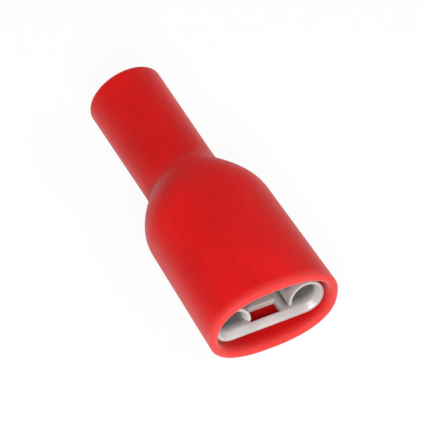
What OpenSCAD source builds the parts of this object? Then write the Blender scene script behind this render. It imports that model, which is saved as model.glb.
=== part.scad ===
// Fully insulated female spade terminal for a 6.3 mm blade and a 0.5 to 1.5 mm2 wire.
// A soft sleeve covers a folded sheet-metal receptacle with its wire barrel.
// The mouth faces -Y, the wire leaves along +Y, and the broad face lies on z = 0.

/* [Sleeve body] */
// Width over the outside at the mouth
mouth_w = 8.7; // [8.4:0.1:9.4]
// Height over the outside at the mouth
mouth_h = 6.04; // [5.7:0.05:6.6]
// Width over the outside where the shoulder starts
shoulder_w = 8.22; // [8.1:0.05:8.7]
// Height over the outside where the shoulder starts
shoulder_h = 5.7; // [5.5:0.05:6.0]
// Length of the flat-oval body, from the mouth to the shoulder
body_len = 8.15; // [8.1:0.05:10]
// Length of the shoulder that runs down to the barrel
shoulder_len = 3.25; // [3:0.05:4]
// How square the oval is: 2 is an ellipse, 4 is nearly a rectangle
oval_power = 2.35; // [2.2:0.05:2.8]
// Angle in degrees that the shoulder's curve turns through before the crease
shoulder_turn = 40; // [25:1:60]

/* [Sleeve mouth] */
// Radius of the rim's outer edge
rim_r = 1.0; // [0.8:0.05:1.2]
// Radius of the rim's inner edge
rim_inner_r = 0.22; // [0.1:0.02:0.3]

/* [Sleeve barrel] */
// Outside diameter of the round barrel
barrel_d = 4.88; // [4.7:0.02:5.4]
// Length of the round barrel
barrel_len = 7.95; // [7.5:0.05:10]
// Diameter of the hole that takes the insulated wire
entry_d = 3.6; // [3:0.1:3.8]
// Length of the cone that leads the strands into the metal barrel
entry_cone_len = 0.9; // [0.6:0.1:1.2]
// Rounding of the barrel's open end
barrel_edge_r = 0.2; // [0.1:0.02:0.25]
// Chamfer around the wire's hole
entry_chamfer = 0.15; // [0.1:0.01:0.2]

/* [Receptacle] */
// Thickness of the sheet
sheet_t = 0.4; // [0.35:0.01:0.42]
// Thickness of the blade that pushes in
blade_t = 0.8; // [0.5:0.1:0.8]
// How much lower the slot is than the blade, so that the wings grip it
grip = 0.1; // [0.05:0.01:0.15]
// Width over the two rolled wings
receptacle_w = 7.2; // [7.1:0.05:7.3]
// Length of the base and its wings
receptacle_len = 7.2; // [6.5:0.05:7.25]
// How far the base's front edge lies behind the mouth
recess = 0.84; // [0.6:0.02:0.9]
// Outside diameter of each rolled wing
wing_d = 2.4; // [2.3:0.02:2.46]
// How far the wings' front corners are cut back at the top
wing_cut_back = 0.9; // [0.5:0.05:1.5]
// Length of the sloped lead-in on the base's front edge
lead_in_len = 0.45; // [0.3:0.05:0.5]
// Depth of that lead-in
lead_in_h = 0.2; // [0.1:0.02:0.25]

/* [Latch] */
// Width of the window in the base and of the tongue behind it
window_w = 1.95; // [1.5:0.05:2.4]
// Length of the window
window_len = 0.62; // [0.5:0.02:0.8]
// Distance from the base's front edge to the window
window_y = 0.54; // [0.52:0.02:0.8]
// How far the latch tongue's end stands up from the base
latch_h = 0.3; // [0.15:0.05:0.35]
// Length of the latch tongue
latch_len = 1.9; // [1.4:0.1:2.5]

/* [Wire barrel] */
// Inside diameter of the metal barrel
crimp_id = 1.7; // [1.6:0.05:1.75]
// Length of the metal barrel
crimp_len = 5; // [4.5:0.1:5.2]
// Length of the neck between the base and the metal barrel
neck_len = 2.2; // [2:0.1:2.3]
// Gap left where the barrel's two edges meet on top
seam_gap = 0.08; // [0.05:0.01:0.15]
// Chamfer inside the metal barrel's rear edge
strand_chamfer = 0.12; // [0.05:0.01:0.2]
// Number of grooves inside the metal barrel that bite into the strands
groove_count = 2; // [0:1:3]
// Width of each groove
groove_w = 0.3; // [0.2:0.05:0.4]
// Depth of each groove
groove_depth = 0.08; // [0.05:0.01:0.12]
// Distance from one groove to the next
groove_pitch = 1.6; // [1.2:0.1:2]
// How much the trough in the neck widens from the metal barrel to the receptacle
trough_flare = 0.15; // [0.1:0.01:0.2]

/* [Fits] */
// Gap between each wing and the side of the sleeve
side_clearance = 0.08; // [0.06:0.01:0.12]
// Gap between the metal barrel and its seat in the sleeve, where 0 is a light press fit
seat_clearance = 0; // [0:0.01:0.05]

/* [Hidden] */
around = 64;
rim_steps = 6;
edge_steps = 3;
shoulder_steps = 12;
round_fn = 96;
over = 0.5;
total_len = body_len + shoulder_len + barrel_len;
neck_y = body_len + shoulder_len;
hollow_w = receptacle_w + 2 * side_clearance;
rim_wall = (mouth_w - hollow_w) / 2;
hollow_h = mouth_h - 2 * rim_wall;
rim_turn = acos(1 - (rim_wall - rim_inner_r) / rim_r);
rim_len = rim_r * sin(rim_turn);
axis_z = (mouth_h - (mouth_h - shoulder_h) * rim_len / body_len) / 2;
crimp_od = crimp_id + 2 * sheet_t;
base_z = -crimp_od / 2;
base_top = base_z + sheet_t;
wing_r = wing_d / 2;
wing_x = receptacle_w / 2 - wing_r;
wing_top = base_z + wing_d;
wing_end_angle = 180 + asin((wing_r - sheet_t - blade_t + grip) / wing_r);
receptacle_end = recess + receptacle_len;
neck_step = 0.03;
crimp_y = receptacle_end + neck_len;
crimp_end = crimp_y + crimp_len;
seat_r = crimp_od / 2 + seat_clearance;
seat_y = crimp_y - 0.2;
hollow_end = crimp_y + 0.4;
hollow_end_d = crimp_od - 0.3;
strand_r = crimp_id / 2 + strand_chamfer;

// A point of the flat oval with half-sizes a and b, at angle t around it
function oval(a, b, power, t) = [
  a * sign(cos(t)) * pow(abs(cos(t)), 2 / power),
  b * sign(sin(t)) * pow(abs(sin(t)), 2 / power)
];

// A ring of points of that oval at distance y behind the mouth
function ring(a, b, power, y) = [
  for (i = [0:around - 1]) let (p = oval(a, b, power, 360 * i / around)) [p.x, y, p.y]
];

// The shoulder's fall from 1 at the body to 0 at the neck, as part of an elliptic arc
function fall(s) =
  (sqrt(1 - pow(sin(shoulder_turn) * s, 2)) - cos(shoulder_turn)) / (1 - cos(shoulder_turn));

// A value that is part of the way from the neck's to the body's
function between(neck, body, f) = neck + (body - neck) * f;

// A ring of the outer skin in the body, drawn in by inset at the rim
function body_ring(y, inset) =
  let (f = 1 - y / body_len)
  ring(between(shoulder_w, mouth_w, f) / 2 - inset, between(shoulder_h, mouth_h, f) / 2 - inset,
    oval_power, y);

// A ring of a shoulder that falls from w and h at the body to the diameter d at end
function shoulder_ring(w, h, d, end, s) =
  ring(between(d, w, fall(s)) / 2, between(d, h, fall(s)) / 2, between(2, oval_power, fall(s)),
    body_len + (end - body_len) * s);

// The hollow's skin, from its rear end forward to the rim's inner edge
hollow_rings = concat(
  [for (i = [shoulder_steps:-1:1])
    shoulder_ring(hollow_w, hollow_h, hollow_end_d, hollow_end, i / shoulder_steps)],
  [ring(hollow_w / 2, hollow_h / 2, oval_power, body_len)],
  [for (i = [0:edge_steps - 1])
    let (u = 90 * i / edge_steps, g = rim_inner_r * (1 - cos(u)))
      ring(hollow_w / 2 + g, hollow_h / 2 + g, oval_power, rim_inner_r * (1 - sin(u)))]
);

// The outer skin, from the rim's crest back to the barrel's open end
outer_rings = concat(
  [for (i = [rim_steps:-1:0])
    let (u = rim_turn * i / rim_steps)
      body_ring(rim_len - rim_r * sin(u), rim_r * (1 - cos(u)))],
  [body_ring(body_len, 0)],
  [for (i = [1:shoulder_steps])
    shoulder_ring(shoulder_w, shoulder_h, barrel_d, neck_y, i / shoulder_steps)],
  [for (i = [0:edge_steps])
    let (u = 90 * i / edge_steps, r = barrel_d / 2 - barrel_edge_r * (1 - cos(u)))
      ring(r, r, 2, total_len - barrel_edge_r * (1 - sin(u)))]
);

// Puts a sub-part that is drawn about the sleeve's axis, with its mouth at y = 0, in its place
module place() {
  translate([0, -total_len / 2, axis_z]) children();
}

// A flat shape in X and Z, drawn out along Y
module along_y(start, end) {
  translate([0, end, 0]) rotate([90, 0, 0]) linear_extrude(end - start) children();
}

// A flat shape in Y and Z, drawn out along X to both sides of the middle
module across_x(width) {
  rotate([90, 0, 90]) linear_extrude(width, center = true) children();
}

// A round shape about the sleeve's axis, from points of radius and distance behind the mouth
module about_axis(points) {
  rotate([-90, 0, 0]) rotate_extrude($fn = round_fn) polygon(points);
}

// One closed skin through a list of rings, with a flat cap on the first and the last
module skin(rings) {
  last = len(rings) - 1;
  caps = [
    [for (i = [around - 1:-1:0]) i],
    [for (i = [0:around - 1]) last * around + i]
  ];
  bands = [
    for (k = [0:last - 1], i = [0:around - 1])
      let (j = (i + 1) % around, p = k * around, q = p + around)
        each [[p + i, q + j, q + i], [p + i, p + j, q + j]]
  ];
  polyhedron(points = [for (r = rings) each r], faces = concat(caps, bands), convexity = 6);
}

// The sleeve: a cup with a rounded rim, and the stepped hole for the barrel and the wire
module insulating_sleeve() {
  entry_r = entry_d / 2;
  open_r = entry_r + entry_chamfer;
  color([0.80, 0.11, 0.11]) place() difference() {
    skin(concat(hollow_rings, outer_rings));
    about_axis([
      [0, seat_y],
      [seat_r, seat_y],
      [seat_r, crimp_end],
      [strand_r, crimp_end],
      [entry_r, crimp_end + entry_cone_len],
      [entry_r, total_len - entry_chamfer],
      [open_r, total_len],
      [open_r, total_len + over],
      [0, total_len + over]
    ]);
  }
}

// One wing's section, rolled up and inwards from the edge of the base
module wing_section() {
  reach = 2 * wing_d;
  translate([wing_x, base_z + wing_r]) intersection() {
    difference() {
      circle(r = wing_r, $fn = round_fn);
      circle(r = wing_r - sheet_t, $fn = round_fn);
    }
    polygon(concat(
      [[0, 0]],
      [for (a = [-90, -45, 0, 45, 90, 135, wing_end_angle]) reach * [cos(a), sin(a)]]
    ));
  }
}

// The base and both wings, before the front edge and the latch are cut
module receptacle_blank() {
  along_y(recess, receptacle_end) {
    translate([-wing_x, base_z]) square([2 * wing_x, sheet_t]);
    wing_section();
    mirror([1, 0]) wing_section();
  }
}

// What the front edge loses: the wings' corners and the base's lead-in
module front_cuts() {
  across_x(2 * receptacle_w) polygon([
    [recess - over, base_top],
    [recess, base_top],
    [recess + wing_cut_back, wing_top],
    [recess + wing_cut_back, wing_top + over],
    [recess - over, wing_top + over]
  ]);
  across_x(2 * wing_x) polygon([
    [recess, base_top - lead_in_h],
    [recess + lead_in_len, base_top],
    [recess + lead_in_len, base_top + over / 10],
    [recess - over, base_top + over / 10],
    [recess - over, base_top - lead_in_h]
  ]);
}

// The latch: a tongue cut free on three sides and bent up behind the window
module latch(start) {
  end = start + latch_len;
  across_x(window_w) polygon([
    [start, base_z + latch_h],
    [start, base_top + latch_h],
    [end, base_top],
    [end, base_z]
  ]);
}

// The neck's flat floor, which narrows from the base to the barrel
module neck_floor() {
  start = receptacle_end - sheet_t;
  rear_x = crimp_id / 2;
  translate([0, 0, base_z + neck_step]) linear_extrude(sheet_t) polygon([
    [-wing_x, start],
    [wing_x, start],
    [wing_x, receptacle_end],
    [rear_x, crimp_y],
    [-rear_x, crimp_y],
    [-wing_x, receptacle_end]
  ]);
}

// The rolled wire barrel, with the trough that its sheet makes in the neck
module wire_barrel() {
  start = receptacle_end + sheet_t;
  r = crimp_od / 2;
  hole_r = crimp_id / 2;
  first_groove = crimp_y + (crimp_len - groove_w - groove_pitch * (groove_count - 1)) / 2;
  difference() {
    about_axis(concat(
      [
        [hole_r + trough_flare, start],
        [r, start],
        [r, crimp_end],
        [strand_r, crimp_end],
        [hole_r, crimp_end - strand_chamfer]
      ],
      [for (i = [groove_count - 1:-1:0]) let (y = first_groove + groove_pitch * i)
        each [
          [hole_r, y + groove_w],
          [hole_r + groove_depth, y + groove_w],
          [hole_r + groove_depth, y],
          [hole_r, y]
        ]],
      [[hole_r, crimp_y]]
    ));
    translate([-seam_gap / 2, start - over, 0]) cube([seam_gap, crimp_end - start + 2 * over, crimp_od]);
    across_x(2 * crimp_od) polygon([
      [start - over, base_top + sheet_t / 2],
      [start, base_top + sheet_t / 2],
      [crimp_y, r * 0.8],
      [crimp_y, crimp_od],
      [start - over, crimp_od]
    ]);
  }
}

// The terminal: one folded sheet with base, wings, latch, neck and wire barrel
module receptacle_terminal() {
  window_start = recess + window_y;
  latch_start = window_start + window_len;
  latch_end = latch_start + latch_len;
  color([0.80, 0.77, 0.74]) place() union() {
    difference() {
      receptacle_blank();
      front_cuts();
      translate([-window_w / 2, window_start, base_z - over])
        cube([window_w, latch_end - window_start, sheet_t + 2 * over]);
    }
    latch(latch_start);
    neck_floor();
    wire_barrel();
  }
}

insulating_sleeve();
receptacle_terminal();
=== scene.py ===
# %% [markdown]
# # A female spade terminal in a soft red sleeve
#
# The object has two pieces. A soft vinyl sleeve is the part that shows: a flat-oval body, a round
# shoulder and a round barrel. Inside its mouth sits the terminal, one strip of tin-plated brass that
# a press has cut, folded and rolled.
#
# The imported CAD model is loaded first. It fixes every size and place, and the finer pieces made here
# lie in the same space and stand in for its two nodes.

# %% Load the frame
import math

import bpy
from mathutils import Matrix, Vector


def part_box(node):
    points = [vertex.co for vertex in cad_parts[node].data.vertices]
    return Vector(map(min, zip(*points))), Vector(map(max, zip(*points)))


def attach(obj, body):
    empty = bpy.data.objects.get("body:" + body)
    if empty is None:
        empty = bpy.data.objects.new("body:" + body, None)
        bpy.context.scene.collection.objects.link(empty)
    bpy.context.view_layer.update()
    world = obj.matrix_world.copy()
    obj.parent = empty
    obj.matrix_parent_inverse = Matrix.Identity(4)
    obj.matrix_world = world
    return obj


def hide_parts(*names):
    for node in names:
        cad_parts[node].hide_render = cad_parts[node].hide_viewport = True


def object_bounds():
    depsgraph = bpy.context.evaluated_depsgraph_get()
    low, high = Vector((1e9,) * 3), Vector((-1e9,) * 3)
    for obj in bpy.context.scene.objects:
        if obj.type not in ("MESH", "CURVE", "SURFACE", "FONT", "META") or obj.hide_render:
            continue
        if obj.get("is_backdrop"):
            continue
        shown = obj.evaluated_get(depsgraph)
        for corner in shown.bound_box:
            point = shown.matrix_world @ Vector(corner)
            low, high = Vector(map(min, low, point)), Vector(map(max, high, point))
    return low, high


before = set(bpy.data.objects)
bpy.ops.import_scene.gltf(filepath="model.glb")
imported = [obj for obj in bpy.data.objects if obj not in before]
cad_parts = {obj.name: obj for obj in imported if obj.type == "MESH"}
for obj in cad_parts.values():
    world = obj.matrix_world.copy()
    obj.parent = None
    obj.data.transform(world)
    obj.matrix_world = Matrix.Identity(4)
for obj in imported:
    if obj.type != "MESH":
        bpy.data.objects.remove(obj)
cad_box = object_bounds()
sleeve_low, sleeve_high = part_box("insulating_sleeve")
terminal_low, terminal_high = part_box("receptacle_terminal")
MM = 0.001
mouth_y = sleeve_low.y
total_len = (sleeve_high.y - sleeve_low.y) / MM
axis_z = (sleeve_low.z + sleeve_high.z) / 2
print(f"sleeve {total_len:.2f} mm long, its axis {axis_z / MM:.3f} mm above the floor")

# %% [markdown]
# ## The sleeve's sizes
#
# Every cross-section of the sleeve is a superellipse: an oval whose power says how square it is. Two
# is a plain ellipse, so the same rule also draws the round barrel. These are the sizes of the oval at
# the mouth and at the shoulder, and of the round parts, in millimetres. The rim rounds off in full: a
# part of the wall's thickness outwards, and the rest inwards. The neck's two fillets are for the narrow
# sides and for the broad ones, where the crease is softer.

# %% Sizes of the sleeve
MOUTH = (8.664, 6.004)
SHOULDER = (8.12, 5.99)
BODY_LEN = 8.05
SHOULDER_LEN = 3.2
OVAL_POWER = 2.37
SHOULDER_TURN = math.radians(40)
BARREL_R = 2.415
BARREL_EDGE_R = 0.28
RIM_WALL = 0.54
RIM_R = 0.26
RIM_INNER_R = RIM_WALL - RIM_R
ENTRY_R = 1.8
ENTRY_CHAMFER = 0.15
ENTRY_CONE_LEN = 0.9
ENTRY_MIDDLE_LEN = 1.6
NECK_FILLET = (0.2, 0.42)
NECK_FILL_LEN = 2.4
NECK_BLEND_LEN = 1.1
hollow = (MOUTH[0] - 2 * RIM_WALL, MOUTH[1] - 2 * RIM_WALL)
neck_y = BODY_LEN + SHOULDER_LEN
print(f"hollow {hollow[0]:.2f} by {hollow[1]:.2f} mm, neck {neck_y:.2f} mm behind the mouth")

# %% [markdown]
# ## The terminal's sizes
#
# The strip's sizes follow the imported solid, with three small corrections to the part that shows in the
# mouth: it reaches a little further forward, its base lies a little lower, and it is a little wider.

# %% Sizes of the terminal
SHEET_T = 0.4
RECEPTACLE_LEN = 7.2
RECEPTACLE_W = 7.36
FRONT_REACH = 0.3
BASE_DROP = 0.13
NECK_LEN = 2.2
WING_R = 1.2
BARREL_OUT_R = 1.25
BLADE_T = 0.8
GRIP = 0.1
WING_CUT_BACK = 0.33
LEAD_IN_LEN = 0.45
LEAD_IN_SHARE = 0.5
WINDOW_W = 2.02
WINDOW_LEN = 0.71
WINDOW_Y = 0.5
LATCH_H = 0.3
LATCH_LEN = 1.9
SLIT = 0.03
SEAM_GAP = 0.08
wing_x = RECEPTACLE_W / 2 - WING_R
base_z = (terminal_low.z - axis_z) / MM - BASE_DROP
solid_front = (terminal_low.y - sleeve_low.y) / MM
RECESS = solid_front - FRONT_REACH
receptacle_end = solid_front + RECEPTACLE_LEN
crimp_y = receptacle_end + NECK_LEN
crimp_end = (terminal_high.y - sleeve_low.y) / MM
print(f"receptacle from {RECESS:.2f} to {receptacle_end:.2f}, barrel to {crimp_end:.2f} mm")

# %% [markdown]
# ## Shapes as lists of stations
#
# The sleeve could be modelled by pushing a cylinder about, but then none of its sizes would be exact.
# Instead it is a loft: a list of stations along the axis, each with a half width, a half height and a
# power. The list walks once round the wall, from the rim's crest over the outside to the rear, then
# back inside through the wire's hole, the seat of the metal barrel and the hollow, and closes.


# %% Curves that the outline follows
def fall(s):
    """The shoulder's drop from 1 at the body to 0 at the neck, part of an elliptic arc."""
    c = math.cos(SHOULDER_TURN)
    return (math.sqrt(max(0.0, 1 - (math.sin(SHOULDER_TURN) * s) ** 2)) - c) / (1 - c)


def soft_max(a, b, blend):
    """The larger of a and b, with the corner between them filled by a small fillet."""
    return (a + b + math.sqrt((a - b) ** 2 + blend**2)) / 2


def eased(t):
    """A smooth rise from 0 at t = 0 to 1 at t = 1."""
    t = min(1.0, max(0.0, t))
    return t * t * (3 - 2 * t)


def steps(start, end, count):
    """Evenly spaced values from start up to but not including end."""
    return [start + (end - start) * i / count for i in range(count)]


# %% Ovals on the outside
def body_oval(y, inset=0.0):
    """The outside of the body at y, drawn in by inset."""
    share = y / BODY_LEN
    half = [(m + (s - m) * share) / 2 - inset for m, s in zip(MOUTH, SHOULDER)]
    return (y, half[0], half[1], OVAL_POWER)


def shoulder_oval(y):
    """The outside of the shoulder and the barrel at y, with a fillet in the crease."""
    drop = fall((y - BODY_LEN) / SHOULDER_LEN)
    before = eased((y - BODY_LEN) / NECK_FILL_LEN)
    behind = eased((y - neck_y) / NECK_BLEND_LEN)
    half = []
    for size, fillet in zip(SHOULDER, NECK_FILLET):
        plain = BARREL_R + (size / 2 - BARREL_R) * drop
        filled = soft_max(plain, BARREL_R, fillet) - max(plain, BARREL_R)
        half.append(max(plain, BARREL_R) + filled * before * (1 - behind))
    return (y, half[0], half[1], 2 + (OVAL_POWER - 2) * max(0.0, drop))


# %% Stations on the outside
outer = []
for u in steps(math.pi / 2, 0, 10):
    outer.append(body_oval(RIM_R * (1 - math.sin(u)), RIM_R * (1 - math.cos(u))))
for y in steps(RIM_R, BODY_LEN, 24):
    outer.append(body_oval(y))
for y in steps(BODY_LEN, neck_y + NECK_BLEND_LEN, 60):
    outer.append(shoulder_oval(y))
for y in steps(neck_y + NECK_BLEND_LEN, total_len - BARREL_EDGE_R, 16):
    outer.append((y, BARREL_R, BARREL_R, 2))
for u in steps(0, math.pi / 2, 8):
    r = BARREL_R - BARREL_EDGE_R * (1 - math.cos(u))
    outer.append((total_len - BARREL_EDGE_R * (1 - math.sin(u)), r, r, 2))
print(f"{len(outer)} stations on the outside")

# %% [markdown]
# The inside starts at the rear with the hole for the wire, which narrows in a cone to the strands, and
# goes on to the round seat that holds the metal barrel. The seat starts a short lead behind the barrel's
# front. In front of it the hollow opens up on the same curve as the shoulder. That curve aims a little
# past the barrel's front, but its last stretch is left out, so that a straight lead-in joins it to the
# seat.

# %% Stations inside
SEAT_GAP = 0.005
SEAT_R = BARREL_OUT_R + SEAT_GAP
SEAT_LEAD = 0.3
STRAND_CHAMFER = 0.12
STRAND_R = BARREL_OUT_R - SHEET_T + STRAND_CHAMFER
HOLLOW_LAP = 0.4
HOLLOW_SHARE = 0.86
HOLLOW_STEPS = 18
hollow_end = crimp_y + HOLLOW_LAP
round_points = [
    (total_len, ENTRY_R + ENTRY_CHAMFER),
    (total_len - ENTRY_CHAMFER, ENTRY_R),
    (total_len - ENTRY_MIDDLE_LEN, ENTRY_R),
    (crimp_end + ENTRY_CONE_LEN, ENTRY_R),
    (crimp_end, STRAND_R),
    (crimp_end, SEAT_R),
    (crimp_y + SEAT_LEAD, SEAT_R),
]
inner = [(y, r, r, 2) for y, r in round_points]
for i in range(HOLLOW_STEPS, 0, -1):
    s = i / HOLLOW_STEPS * HOLLOW_SHARE
    drop = fall(s)
    wide, high = (SEAT_R + (v / 2 - SEAT_R) * drop for v in hollow)
    inner.append((BODY_LEN + (hollow_end - BODY_LEN) * s, wide, high, 2 + (OVAL_POWER - 2) * drop))
for y in steps(BODY_LEN, RIM_INNER_R, 20):
    inner.append((y, hollow[0] / 2, hollow[1] / 2, OVAL_POWER))
for u in steps(0, math.pi / 2, 8):
    grow = RIM_INNER_R * (1 - math.cos(u))
    inner.append((RIM_INNER_R * (1 - math.sin(u)), hollow[0] / 2 + grow, hollow[1] / 2 + grow, OVAL_POWER))
print(f"{len(inner)} stations inside")

# %% [markdown]
# ## Helpers for nodes
#
# Geometry Nodes build both pieces, because both follow a rule: one is a loft through its stations, and
# the other is a flat blank that is folded. A few small functions keep the trees short. Each node input
# takes either a plain value or the output of another node.


# %% Helpers for single nodes
def feed(tree, socket, value):
    """Links value to the socket if it is another node's output, and otherwise writes it there."""
    if isinstance(value, bpy.types.NodeSocket):
        tree.links.new(value, socket)
    else:
        socket.default_value = value


def node(tree, kind, settings=None, **inputs):
    """A new node with its settings and inputs. An input's name has _ for each blank."""
    made = tree.nodes.new(kind)
    for key, value in (settings or {}).items():
        setattr(made, key, value)
    for key, value in inputs.items():
        feed(tree, made.inputs[key.replace("_", " ")], value)
    return made


def calc(tree, operation, a, b=0.0):
    """One step of arithmetic in a tree."""
    made = tree.nodes.new("ShaderNodeMath")
    made.operation = operation
    feed(tree, made.inputs[0], a)
    feed(tree, made.inputs[1], b)
    return made.outputs[0]


# %% Helpers for whole trees
def new_tree(name, kind, sockets):
    """An empty tree with its named inputs and outputs, and its two end nodes."""
    tree = bpy.data.node_groups.new(name, kind)
    for label, way, socket_type in sockets:
        tree.interface.new_socket(label, in_out=way, socket_type="NodeSocket" + socket_type)
    return tree, tree.nodes.new("NodeGroupInput").outputs, tree.nodes.new("NodeGroupOutput").inputs


def finished(tree, geometry, given, result):
    """Ends a tree with real, smooth-shaded geometry that carries its material. Ends a
    tree the way the export needs it: real geometry that carries its material.
    """
    smooth = node(tree, "GeometryNodeSetShadeSmooth", Geometry=geometry).outputs[0]
    real = node(tree, "GeometryNodeRealizeInstances", Geometry=smooth).outputs[0]
    dressed = node(tree, "GeometryNodeSetMaterial", Geometry=real, Material=given["Material"])
    tree.links.new(dressed.outputs[0], result["Geometry"])


# %% [markdown]
# ## The loft tree
#
# The tree takes a mesh with one point per station, and reads each station's place along the axis, half
# width, half height and power from that point. It lays out a grid with a column for each station and a
# row for each step around, and moves every grid point onto its oval. One column more reads the first
# station again, so the wall closes on itself without any cap, and the doubled points along both seams
# are merged.

# %% Lay out the loft's grid
loft_sockets = [
    ("Geometry", "INPUT", "Geometry"),
    ("Stations", "INPUT", "Int"),
    ("Around", "INPUT", "Int"),
    ("Axis Height", "INPUT", "Float"),
    ("Weld", "INPUT", "Float"),
    ("Material", "INPUT", "Material"),
    ("Geometry", "OUTPUT", "Geometry"),
]
loft, given, result = new_tree("Oval loft", "GeometryNodeTree", loft_sockets)
columns = calc(loft, "ADD", given["Stations"], 1.0)
rows = calc(loft, "ADD", given["Around"], 1.0)
grid = node(
    loft,
    "GeometryNodeMeshGrid",
    Size_X=given["Stations"],
    Size_Y=given["Around"],
    Vertices_X=columns,
    Vertices_Y=rows,
)
place = node(loft, "ShaderNodeSeparateXYZ", Vector=node(loft, "GeometryNodeInputPosition").outputs[0])


def counted(position, count):
    """The number of a grid line, from its position on a grid that is centred on zero."""
    return calc(loft, "ROUND", calc(loft, "ADD", position, calc(loft, "MULTIPLY", count, 0.5)))


station = calc(loft, "MODULO", counted(place.outputs[0], given["Stations"]), given["Stations"])
row = counted(place.outputs[1], given["Around"])
turn = calc(loft, "MULTIPLY", calc(loft, "DIVIDE", row, given["Around"]), math.tau)


# %% Move the grid onto its ovals
def of_station(name):
    """The named value of the station that a grid point belongs to."""
    value = node(loft, "GeometryNodeInputNamedAttribute", {"data_type": "FLOAT"}, Name=name).outputs[0]
    picked = node(loft, "GeometryNodeSampleIndex", {"data_type": "FLOAT"}, Value=value, Index=station)
    loft.links.new(given["Geometry"], picked.inputs["Geometry"])
    return picked.outputs[0]


def oval_side(half, wave):
    """One coordinate of the superellipse: half times the wave, with the wave bent by the power."""
    size = calc(loft, "POWER", calc(loft, "ABSOLUTE", wave), calc(loft, "DIVIDE", 2.0, of_station("power")))
    return calc(loft, "MULTIPLY", calc(loft, "MULTIPLY", calc(loft, "SIGN", wave), size), of_station(half))


side_x = oval_side("half_wide", calc(loft, "COSINE", turn))
side_z = calc(loft, "ADD", oval_side("half_high", calc(loft, "SINE", turn)), given["Axis Height"])
spot = node(loft, "ShaderNodeCombineXYZ", X=side_x, Y=of_station("along"), Z=side_z)
moved = node(loft, "GeometryNodeSetPosition", Geometry=grid.outputs[0], Position=spot.outputs[0])
welded = node(loft, "GeometryNodeMergeByDistance", Geometry=moved.outputs[0], Distance=given["Weld"])
finished(loft, welded.outputs[0], given, result)
print(f"loft tree has {len(loft.nodes)} nodes")

# %% [markdown]
# ## The folding tree
#
# On the real terminal a press stamps a flat blank and then bends it. The tree does the same. Each point
# of the blank knows how wide the flat floor is where it lies, how tight the bend is, and how far it is
# lifted, as the tongue is. Points on the floor keep their width, and the rest wind up round an arc, so
# the sheet keeps its length as real sheet does.

# %% Start the folding tree
fold_sockets = [
    ("Geometry", "INPUT", "Geometry"),
    ("Floor Height", "INPUT", "Float"),
    ("Material", "INPUT", "Material"),
    ("Geometry", "OUTPUT", "Geometry"),
]
fold, given, result = new_tree("Fold the blank", "GeometryNodeTree", fold_sockets)
flat = node(fold, "ShaderNodeSeparateXYZ", Vector=node(fold, "GeometryNodeInputPosition").outputs[0])


def of_blank(name):
    """A value that each point of the blank carries."""
    return node(fold, "GeometryNodeInputNamedAttribute", {"data_type": "FLOAT"}, Name=name).outputs[0]


# %% Bend the blank
past_floor = calc(fold, "SUBTRACT", calc(fold, "ABSOLUTE", flat.outputs[0]), of_blank("floor_half"))
wound = calc(fold, "DIVIDE", calc(fold, "MAXIMUM", past_floor, 0.0), of_blank("bend_r"))
on_floor = calc(fold, "MINIMUM", calc(fold, "ABSOLUTE", flat.outputs[0]), of_blank("floor_half"))
reach = calc(fold, "ADD", on_floor, calc(fold, "MULTIPLY", calc(fold, "SINE", wound), of_blank("bend_r")))
rise = calc(fold, "MULTIPLY", calc(fold, "SUBTRACT", 1.0, calc(fold, "COSINE", wound)), of_blank("bend_r"))
rise = calc(fold, "ADD", calc(fold, "ADD", rise, of_blank("lift")), given["Floor Height"])
reach = calc(fold, "MULTIPLY", reach, calc(fold, "SIGN", flat.outputs[0]))
spot = node(fold, "ShaderNodeCombineXYZ", X=reach, Y=flat.outputs[1], Z=rise)
bent = node(fold, "GeometryNodeSetPosition", Geometry=given["Geometry"], Position=spot.outputs[0])
finished(fold, bent.outputs[0], given, result)
print(f"folding tree has {len(fold.nodes)} nodes")

# %% [markdown]
# ## From a tree to a plain mesh
#
# A tree works as a modifier on an object. Here the object is only a helper: the tree is run on it once,
# the result is kept as a plain mesh on a new object, and the helper is deleted. Both results have to be
# closed and face outwards, so the volume that they hold is measured, and a mesh that is inside out is
# turned round.


# %% Run a tree on a mesh
def grown(name, base_mesh, tree, values):
    """A new object whose mesh is what the tree makes of base_mesh with these named inputs."""
    source = bpy.data.objects.new(name + "_source", base_mesh)
    bpy.context.scene.collection.objects.link(source)
    modifier = source.modifiers.new(tree.name, "NODES")
    modifier.node_group = tree
    for item in tree.interface.items_tree:
        if item.item_type == "SOCKET" and item.in_out == "INPUT" and item.name in values:
            modifier[item.identifier] = values[item.name]
    depsgraph = bpy.context.evaluated_depsgraph_get()
    mesh = bpy.data.meshes.new_from_object(source.evaluated_get(depsgraph))
    mesh.name = name
    bpy.data.objects.remove(source)
    made = bpy.data.objects.new(name, mesh)
    bpy.context.scene.collection.objects.link(made)
    return made


# %% Write numbers on points, and turn a mesh outwards
def carry(mesh, name, values):
    """Writes one number per point of the mesh under a name that a tree can read."""
    mesh.attributes.new(name, "FLOAT", "POINT").data.foreach_set("value", values)


def volume_of(piece):
    """The volume a closed mesh holds, negative if its faces point inwards."""
    corners = [v.co for v in piece.data.vertices]
    total = 0.0
    for face in piece.data.polygons:
        first, *rest = [corners[i] for i in face.vertices]
        for b, c in zip(rest, rest[1:]):
            total += first.dot(b.cross(c)) / 6
    return total


def point_outwards(piece):
    """Turns a closed mesh the right way out, and prints its size."""
    held = volume_of(piece)
    if held < 0:
        piece.data.flip_normals()
    print(f"{piece.name}: {abs(held) / MM**3:.1f} cubic mm, {len(piece.data.polygons)} faces")


# %% [markdown]
# ## Fine grain, shared by both finishes
#
# Neither surface is perfectly smooth. The vinyl comes out of its mould with a fine matte skin, and the
# strip keeps faint lines from the rolling mill. Both are the same idea at different sizes, so one shader
# group makes them: noise on the piece's own coordinates, drawn out along the piece as far as asked. It
# puts out a mask for colour and roughness, and a normal for the relief.

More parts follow.
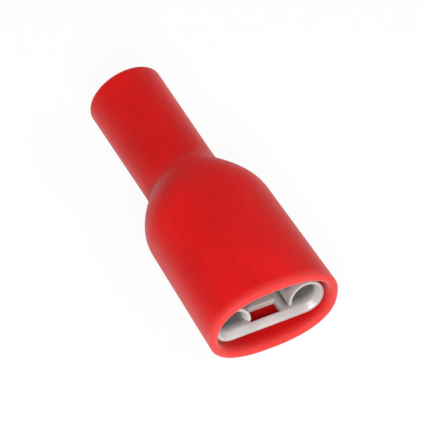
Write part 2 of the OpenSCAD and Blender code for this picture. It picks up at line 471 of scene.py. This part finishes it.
# %% Build the grain group
grain_sockets = [
    ("Vector", "INPUT", "Vector"),
    ("Grains per Metre", "INPUT", "Float"),
    ("Drawn Out", "INPUT", "Float"),
    ("Relief", "INPUT", "Float"),
    ("Mask", "OUTPUT", "Float"),
    ("Normal", "OUTPUT", "Vector"),
]
grain, given, result = new_tree("Surface grain", "ShaderNodeTree", grain_sockets)
parts = node(grain, "ShaderNodeSeparateXYZ", Vector=given["Vector"])
drawn = calc(grain, "DIVIDE", parts.outputs[1], given["Drawn Out"])
spot = node(grain, "ShaderNodeCombineXYZ", X=parts.outputs[0], Y=drawn, Z=parts.outputs[2])
specks = node(
    grain, "ShaderNodeTexNoise", Vector=spot.outputs[0], Scale=given["Grains per Metre"], Detail=3.0
)
relief = node(grain, "ShaderNodeBump", Strength=1.0, Distance=given["Relief"], Height=specks.outputs[0])
grain.links.new(specks.outputs[0], result["Mask"])
grain.links.new(relief.outputs[0], result["Normal"])
print(f"grain group has {len(grain.nodes)} nodes")


# %% Start a material
def new_material(name):
    """An empty material with its tree, its shader and the piece's own coordinates."""
    made = bpy.data.materials.new(name)
    made.use_nodes = True
    tree = made.node_tree
    tree.nodes.clear()
    shader = tree.nodes.new("ShaderNodeBsdfPrincipled")
    output = tree.nodes.new("ShaderNodeOutputMaterial")
    tree.links.new(shader.outputs[0], output.inputs["Surface"])
    return made, tree, shader, tree.nodes.new("ShaderNodeTexCoord").outputs["Object"]


def grained(tree, coords, per_metre, drawn_out, relief_mm):
    """One use of the grain group, with its own values."""
    used = node(tree, "ShaderNodeGroup", {"node_tree": grain}, Vector=coords, Relief=relief_mm * MM)
    used.inputs["Grains per Metre"].default_value = per_metre
    used.inputs["Drawn Out"].default_value = drawn_out
    return used.outputs


# %% Turn masks into colours and numbers
def blended(tree, mask, low, high, from_mask=0.3, to_mask=0.7):
    """A colour between low and high as the mask goes from one value to the other."""
    ramp = tree.nodes.new("ShaderNodeValToRGB")
    tree.links.new(mask, ramp.inputs[0])
    for stop, place, colour in zip(ramp.color_ramp.elements, (from_mask, to_mask), (low, high)):
        stop.position, stop.color = place, (*colour, 1.0)
    return ramp.outputs[0]


def spread(tree, mask, low, high):
    """A number between low and high as the mask goes from its usual lowest to its highest."""
    ranged = node(tree, "ShaderNodeMapRange", Value=mask, From_Min=0.3, From_Max=0.7)
    ranged.inputs["To Min"].default_value = low
    ranged.inputs["To Max"].default_value = high
    return ranged.outputs[0]


def risen(tree, value, start_mm, end_mm):
    """A mask that rises smoothly from 0 to 1 as a distance goes from one length to the other."""
    ranged = node(tree, "ShaderNodeMapRange", {"interpolation_type": "SMOOTHSTEP"}, Value=value)
    ranged.inputs["From Min"].default_value = start_mm * MM
    ranged.inputs["From Max"].default_value = end_mm * MM
    return ranged.outputs[0]


def between(tree, mask, low, high):
    """The colour low where the mask is 0 and the colour high where it is 1."""
    mixed = node(tree, "ShaderNodeMix", {"data_type": "RGBA"})
    feed(tree, mixed.inputs[0], mask)
    feed(tree, mixed.inputs[6], low)
    feed(tree, mixed.inputs[7], high)
    return mixed.outputs[2]


# %% [markdown]
# ## The vinyl
#
# The sleeve is dipped or moulded in soft red vinyl. Its skin is frosted, so highlights are wide and
# faint, and light goes a little way in and comes out again, which makes thin places glow. Clouds and
# specks of a slightly deeper red run through it. Towards the lip the red is painted paler: a painted
# highlight for the light along the lip.
# A soft sheen stands for the bloom that vinyl gets where it is seen edge on.

# %% Make the vinyl
LIP_FADE = 0.8
# The paler red of the painted highlight along the lip.
PAINTED_GLOW_LIP_RED = (0.58, 0.042, 0.038, 1.0)
DEEP_RED, FULL_RED = (0.44, 0.001, 0.001), (0.62, 0.003, 0.003)
vinyl, tree, shader, coords = new_material("soft_red_vinyl")
clouds = grained(tree, coords, per_metre=260, drawn_out=1.6, relief_mm=0)
skin = grained(tree, coords, per_metre=8000, drawn_out=1, relief_mm=0.006)
half_clouds = calc(tree, "MULTIPLY", clouds["Mask"], 0.5)
mottling = calc(tree, "ADD", half_clouds, calc(tree, "MULTIPLY", skin["Mask"], 0.5))
red = blended(tree, mottling, DEEP_RED, FULL_RED, from_mask=0.36, to_mask=0.64)
along = node(tree, "ShaderNodeSeparateXYZ", Vector=coords).outputs[1]
# Painted highlight: over the first LIP_FADE millimetres from the mouth the red is painted paler, for the
# light along the lip.
past_lip = risen(tree, calc(tree, "SUBTRACT", along, mouth_y), 0, LIP_FADE)
tree.links.new(between(tree, past_lip, PAINTED_GLOW_LIP_RED, red), shader.inputs["Base Color"])
tree.links.new(spread(tree, skin["Mask"], low=0.46, high=0.60), shader.inputs["Roughness"])
tree.links.new(skin["Normal"], shader.inputs["Normal"])
shader.inputs["IOR"].default_value = 1.46
shader.inputs["Specular IOR Level"].default_value = 0.16
shader.inputs["Subsurface Weight"].default_value = 0.5
shader.inputs["Subsurface Radius"].default_value = (1.0, 0.16, 0.12)
shader.inputs["Subsurface Scale"].default_value = 1.0 * MM
shader.inputs["Sheen Weight"].default_value = 0.24
shader.inputs["Sheen Roughness"].default_value = 0.45
shader.inputs["Sheen Tint"].default_value = (1.0, 0.62, 0.6, 1.0)
print(f"{vinyl.name} has {len(tree.nodes)} nodes")

# %% [markdown]
# ## Tinned brass
#
# The strip is brass with a thin coat of tin: a warm grey metal, satin rather than bright. The rolls
# leave fine lines along the strip, and handling leaves cloudy patches where the tin is duller. Inside
# the rolled wings it is painted darker, a painted shade for the shadow in the rolls. The two fades say
# where that painted shade begins and ends, in millimetres: out from the middle of the strip, and back
# from its front edge.

# %% Make the tinned brass
TIN_LOW, TIN_HIGH = (0.46, 0.44, 0.43), (0.58, 0.56, 0.55)
# The colour of the painted shade inside the rolled wings.
PAINTED_SHADE_TIN = (0.17, 0.16, 0.155, 1.0)
WING_FADE = (1.15, 1.6)
DEPTH_FADE = (0.45, 1.0)
tinned, tree, shader, coords = new_material("tinned_brass")
patches = grained(tree, coords, per_metre=700, drawn_out=1, relief_mm=0)
rolled = grained(tree, coords, per_metre=9000, drawn_out=30, relief_mm=0.0005)
tin = blended(tree, patches["Mask"], TIN_LOW, TIN_HIGH)
place = node(tree, "ShaderNodeSeparateXYZ", Vector=coords).outputs
# Painted shade: inside the rolled wings, back from the front edge, the tin is painted darker for the shadow
# in the rolls.
in_wings = risen(tree, calc(tree, "ABSOLUTE", place[0]), *WING_FADE)
from_front = calc(tree, "SUBTRACT", place[1], mouth_y + RECESS * MM)
painted_shade_mask = calc(tree, "MULTIPLY", in_wings, risen(tree, from_front, *DEPTH_FADE))
tree.links.new(between(tree, painted_shade_mask, tin, PAINTED_SHADE_TIN), shader.inputs["Base Color"])
tree.links.new(spread(tree, rolled["Mask"], low=0.42, high=0.54), shader.inputs["Roughness"])
tree.links.new(rolled["Normal"], shader.inputs["Normal"])
shader.inputs["Metallic"].default_value = 0.42
print(f"{tinned.name} has {len(tree.nodes)} nodes")

# %% [markdown]
# ## The sleeve
#
# The stations become a mesh of bare points that only carry numbers. The loft tree turns them into the
# whole sleeve in one go, inside and outside, as one closed wall. That is how the real one is: a single
# moulding with no seam.

# %% Make the sleeve
AROUND = 192
WELD = 0.002
SLEEVE_SHARP = math.radians(50)
stations = outer + inner
station_points = bpy.data.meshes.new("sleeve_stations")
station_points.from_pydata([(0.0, 0.0, 0.0)] * len(stations), [], [])
ys, wides, highs, powers = zip(*stations)
carry(station_points, "along", [mouth_y + y * MM for y in ys])
carry(station_points, "half_wide", [wide * MM for wide in wides])
carry(station_points, "half_high", [high * MM for high in highs])
carry(station_points, "power", powers)
sleeve_values = {
    "Stations": len(stations),
    "Around": AROUND,
    "Axis Height": axis_z,
    "Weld": WELD * MM,
    "Material": vinyl,
}
sleeve = grown("sleeve", station_points, loft, sleeve_values)
point_outwards(sleeve)
sleeve.data.set_sharp_from_angle(angle=SLEEVE_SHARP)
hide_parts("insulating_sleeve")
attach(sleeve, "root")

# %% [markdown]
# ## The blank
#
# The terminal starts as the flat outline that the press cuts. Its middle is the floor of the receptacle,
# with a window and a tongue behind it. The wings spread out to both sides, their front corners cut back.
# Behind them the strip narrows to the neck, and widens again into the two halves of the wire barrel.
#
# The outline is a grid of rows across the strip, so that it bends cleanly. The columns beyond the neck
# stop where the wings stop. Faces in the window and in the tongue's two slits are left out.

# %% Columns of the blank
WALL_START_H = 0.6
WALL_END_H = 2.25
window_half = WINDOW_W / 2
wing_turn = math.pi * 1.5 + math.asin((WING_R - SHEET_T - BLADE_T + GRIP) / WING_R)
wall_turn = math.acos(1 - WALL_START_H / WING_R)
FLOOR_XS = (0, 0.33, 0.65, window_half - SLIT, window_half, 1.2, 1.45, 1.7, 1.95, 2.2)
columns = list(FLOOR_XS)
columns += [wing_x + WING_R * turn for turn in steps(0, wall_turn, 8)]
neck_columns = len(columns)
columns += [wing_x + WING_R * turn for turn in steps(wall_turn, wing_turn, 30)]
columns.append(wing_x + WING_R * wing_turn)
print(f"blank {2 * columns[-1]:.1f} mm wide, {2 * len(columns) - 1} columns")

# %% Rows of the blank
CORNER_R = 0.25
ROW_GAP = 0.1
GROOVES = (crimp_y + 1.55, crimp_y + 3.15)
GROOVE_W = 0.3
GROOVE_DEPTH = 0.08
GROOVE_SLOPE = 0.1
window_start = RECESS + WINDOW_Y
tongue_start = window_start + WINDOW_LEN
tongue_end = tongue_start + LATCH_LEN
row_ys = steps(RECESS, RECESS + LEAD_IN_LEN, 3) + [RECESS + LEAD_IN_LEN]
row_ys += steps(window_start, tongue_start, 3) + steps(tongue_start, tongue_end, 8)
row_ys += steps(tongue_end, receptacle_end, 10) + steps(receptacle_end, crimp_y, 14)
row_ys += steps(crimp_y, crimp_y + CORNER_R, 5)
for groove in GROOVES:
    row_ys += steps(row_ys[-1] + ROW_GAP, groove, 4)
    row_ys += [groove, groove + GROOVE_SLOPE, groove + GROOVE_W - GROOVE_SLOPE, groove + GROOVE_W]
row_ys += steps(row_ys[-1] + ROW_GAP, crimp_end - STRAND_CHAMFER, 4)
row_ys += [crimp_end - STRAND_CHAMFER, crimp_end]
print(f"blank {crimp_end - RECESS:.1f} mm long, {len(row_ys)} rows")


# %% How the strip bends
def neck_share(y):
    """How far y is through the neck, from 0 to 1, eased at both ends."""
    return eased((y - receptacle_end) / NECK_LEN)


def floor_half(y):
    """Half the width of the flat floor."""
    return wing_x * (1 - neck_share(y))


def bend_r(y):
    """The radius the sheet is bent to on its outside."""
    return WING_R + (BARREL_OUT_R - WING_R) * neck_share(y)


def blank_half(y):
    """Half the width of the blank in the neck and the barrel."""
    height = WALL_START_H + (WALL_END_H - WALL_START_H) * neck_share(y)
    in_neck = floor_half(y) + bend_r(y) * math.acos(1 - height / bend_r(y))
    in_barrel = math.pi * BARREL_OUT_R - SEAM_GAP / 2
    corner = min(1.0, max(0.0, (y - crimp_y) / CORNER_R))
    return in_neck + (in_barrel - in_neck) * math.sqrt(1 - (1 - corner) ** 2)


# %% Front cut and thickness
def cut_back(x):
    """How far the slanted front cut sets a wing back at x on the blank."""
    rise = WING_R * (1 - math.cos((x - wing_x) / WING_R)) - SHEET_T if x > wing_x else 0.0
    return WING_CUT_BACK * max(0.0, rise) / (2 * WING_R - SHEET_T)


def thickness_share(y, front):
    """How much of the sheet's thickness is left at y, where the piece's front edge is at front."""
    share = LEAD_IN_SHARE + (1 - LEAD_IN_SHARE) * min(1.0, (y - front) / LEAD_IN_LEN)
    for groove in GROOVES:
        if groove < y < groove + GROOVE_W:
            share = 1 - GROOVE_DEPTH / SHEET_T
    if y > crimp_end - STRAND_CHAMFER / 2:
        share = 1 - STRAND_CHAMFER / SHEET_T
    return share


# %% Points and gaps of the blank
def blank_point(row, column):
    """A point of the flat blank, and the numbers it carries."""
    y, x, side = row_ys[row], columns[abs(column)], (column > 0) - (column < 0)
    lift = BASE_DROP * neck_share(y)
    if y > receptacle_end:
        x = columns[abs(column)] / columns[neck_columns] * blank_half(y)
    elif y < tongue_end:
        y += cut_back(x) * (1 - (y - RECESS) / (tongue_end - RECESS))
        if y >= tongue_start and x < window_half - SLIT / 2:
            lift = LATCH_H * (1 - (y - tongue_start) / LATCH_LEN)
    front = RECESS + cut_back(x) if y < receptacle_end else RECESS
    return (side * x, y, lift, thickness_share(y, front))


def is_cut_away(row, column):
    """Whether the face between this row and column and the next ones isn't part of the blank."""
    y = (row_ys[row] + row_ys[row + 1]) / 2
    far = max(abs(column), abs(column + 1))
    x = (columns[far] + columns[far - 1]) / 2
    in_slit = tongue_start < y < tongue_end and window_half - SLIT < x < window_half
    in_window = window_start < y < tongue_start and x < window_half
    return in_slit or in_window or (y > receptacle_end and far > neck_columns)


# %% Cut the blank
points, faces, numbers = [], [], {}
side_columns = len(columns) - 1
for row in range(len(row_ys) - 1):
    for column in range(-side_columns, side_columns):
        if is_cut_away(row, column):
            continue
        face = []
        for corner in ((row, column), (row, column + 1), (row + 1, column + 1), (row + 1, column)):
            if corner not in numbers:
                numbers[corner] = len(points)
                points.append(blank_point(*corner))
            face.append(numbers[corner])
        faces.append(face)
blank = bpy.data.meshes.new("terminal_blank")
blank.from_pydata([(x * MM, mouth_y + y * MM, 0.0) for x, y, _, _ in points], [], faces)
carry(blank, "floor_half", [floor_half(y) * MM for _, y, _, _ in points])
carry(blank, "bend_r", [bend_r(y) * MM for _, y, _, _ in points])
carry(blank, "lift", [lift * MM for _, _, lift, _ in points])
carry(blank, "sheet", [share for _, _, _, share in points])
print(f"blank has {len(points)} points and {len(faces)} faces")

# %% [markdown]
# ## Fold it
#
# The folding tree bends the blank, and two plain modifiers finish it. Solidify gives the sheet its
# thickness, growing inwards from the outer side. Each point's share of the thickness makes the lead-in at
# the front, the grooves that bite into the strands, and the chamfer at the rear. Bevel then takes the
# edge off, as the tumbling drum does.


# %% Keep what a modifier makes
def finish_with(piece, modifier):
    """Applies the modifier to the piece's mesh."""
    depsgraph = bpy.context.evaluated_depsgraph_get()
    mesh = bpy.data.meshes.new_from_object(piece.evaluated_get(depsgraph))
    piece.modifiers.remove(modifier)
    piece.data = mesh


# %% Fold the blank and give it its thickness
terminal = grown("terminal", blank, fold, {"Floor Height": axis_z + base_z * MM, "Material": tinned})
shares = [0.0] * len(terminal.data.vertices)
terminal.data.attributes["sheet"].data.foreach_get("value", shares)
sheet_group = terminal.vertex_groups.new(name="sheet")
for index, share in enumerate(shares):
    sheet_group.add([index], share, "REPLACE")
thicken = terminal.modifiers.new("sheet", "SOLIDIFY")
thicken.thickness = SHEET_T * MM
thicken.offset = 1
thicken.use_even_offset = True
thicken.vertex_group = "sheet"
finish_with(terminal, thicken)
print(f"{len(terminal.data.polygons)} faces with its thickness")

# %% Take the edges off
EDGE_R = 0.035
BEVEL_FROM = math.radians(45)
TERMINAL_SHARP = math.radians(40)
soften = terminal.modifiers.new("edges", "BEVEL")
soften.width = EDGE_R * MM
soften.segments = 2
soften.limit_method = "ANGLE"
soften.angle_limit = BEVEL_FROM
soften.use_clamp_overlap = False
finish_with(terminal, soften)
point_outwards(terminal)
terminal.data.set_sharp_from_angle(angle=TERMINAL_SHARP)
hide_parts("receptacle_terminal")
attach(terminal, "root")

# %% [markdown]
# ## The floor and the backdrop
#
# The terminal lies on a white sheet. Seen by the camera, or mirrored in the metal, most of the sheet's
# brightness is its own, so that it stays white, and the rest is light that falls on it, which keeps the
# object's soft shadow.

# %% Lay the floor
FLOOR_SIZE = 3.0
OWN_LIGHT = 0.92
paper, tree, shader, coords = new_material("white_paper")
shader.inputs["Base Color"].default_value = (0.9, 0.9, 0.9, 1.0)
shader.inputs["Roughness"].default_value = 0.9
glow = node(tree, "ShaderNodeEmission", Color=(1.0, 1.0, 1.0, 1.0), Strength=1.0)
seen = node(tree, "ShaderNodeLightPath").outputs
seen_or_mirrored = calc(tree, "MAXIMUM", seen["Is Camera Ray"], seen["Is Glossy Ray"])
seen_or_mirrored = calc(tree, "MAXIMUM", seen_or_mirrored, seen["Is Transmission Ray"])
mixed = node(tree, "ShaderNodeMixShader", Fac=calc(tree, "MULTIPLY", seen_or_mirrored, OWN_LIGHT))
tree.links.new(shader.outputs[0], mixed.inputs[1])
tree.links.new(glow.outputs[0], mixed.inputs[2])
output = next(n for n in tree.nodes if n.type == "OUTPUT_MATERIAL")
tree.links.new(mixed.outputs[0], output.inputs["Surface"])
floor_mesh = bpy.data.meshes.new("floor")
half = FLOOR_SIZE / 2
floor_corners = [(-half, -half, 0), (half, -half, 0), (half, half, 0), (-half, half, 0)]
floor_mesh.from_pydata(floor_corners, [], [(0, 1, 2, 3)])
floor_mesh.materials.append(paper)
floor = bpy.data.objects.new("floor", floor_mesh)
bpy.context.scene.collection.objects.link(floor)
floor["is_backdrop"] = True
print(f"floor {FLOOR_SIZE:.0f} m square, {OWN_LIGHT:.0%} of its brightness its own")

# %% [markdown]
# ## Light
#
# The light is that of a white tent: even from all round, with one soft lamp close in front of the mouth,
# and a large one far off to the right. The near lamp reaches into the mouth, and its light fades along
# the sleeve. Everything stays at a plain level, at which a colour comes out about as it was written.

# %% Light the scene
TENT_LEVEL = 0.42
world = bpy.data.worlds.new("tent")
world.use_nodes = True
background = world.node_tree.nodes["Background"]
background.inputs["Color"].default_value = (1.0, 1.0, 1.0, 1.0)
background.inputs["Strength"].default_value = TENT_LEVEL
bpy.context.scene.world = world


def lamp(name, place, aim, size, power):
    """A round soft lamp at place, turned towards aim, with its width in metres and its power in watts."""
    light = bpy.data.lights.new(name, "AREA")
    light.shape = "DISK"
    light.size = size
    light.energy = power
    made = bpy.data.objects.new(name, light)
    bpy.context.scene.collection.objects.link(made)
    made.location = place
    made.rotation_euler = (Vector(place) - Vector(aim)).to_track_quat("Z", "Y").to_euler()


middle = (cad_box[0] + cad_box[1]) / 2
lamp("key", (-0.035, -0.07, 0.07), middle, size=0.04, power=0.102)
lamp("fill", (0.30, -0.10, 0.30), middle, size=0.30, power=0.5)
print(f"{len(bpy.data.lights)} lamps, and a white world at {TENT_LEVEL}")

# %% [markdown]
# ## The camera
#
# A long lens looks down on the terminal from its mouth end and from the left, with the camera rolled by
# a few degrees.

# %% Place the camera
AZIMUTH = math.radians(-33.232)
ELEVATION = math.radians(50.043)
ROLL = math.radians(6.431)
DISTANCE = 0.4431
AIM = Vector((0.5785 * MM, -0.7564 * MM, 2.7381 * MM))
LENS = 622.776
SENSOR_W = 36.0
NEAREST = 0.01
back = Vector((
    math.sin(AZIMUTH) * math.cos(ELEVATION),
    -math.cos(AZIMUTH) * math.cos(ELEVATION),
    math.sin(ELEVATION),
))
level = Vector((0.0, 0.0, 1.0)).cross(back).normalized()
turned = Matrix.Rotation(ROLL, 3, back)
right = turned @ level
up = back.cross(right)
camera_data = bpy.data.cameras.new("camera")
camera_data.sensor_width = SENSOR_W
camera_data.lens = LENS
camera_data.clip_start = NEAREST
camera = bpy.data.objects.new("camera", camera_data)
bpy.context.scene.collection.objects.link(camera)
turn_to_view = Matrix((right, up, back)).transposed().to_4x4()
camera.matrix_world = Matrix.Translation(AIM + back * DISTANCE) @ turn_to_view
bpy.context.scene.camera = camera
bpy.context.scene.view_settings.view_transform = "Standard"
print("camera right", [round(v, 4) for v in right], "up", [round(v, 4) for v in up])

# %% [markdown]
# ## The size of the finer pieces
#
# The finer pieces must fill the same box as the CAD model. Both boxes are printed for comparison.

# %% Print both boxes
new_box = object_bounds()
for label, (low, high) in (("CAD", cad_box), ("visual", new_box)):
    print(label, "box, mm:", [round((h - l) / MM, 3) for l, h in zip(low, high)])
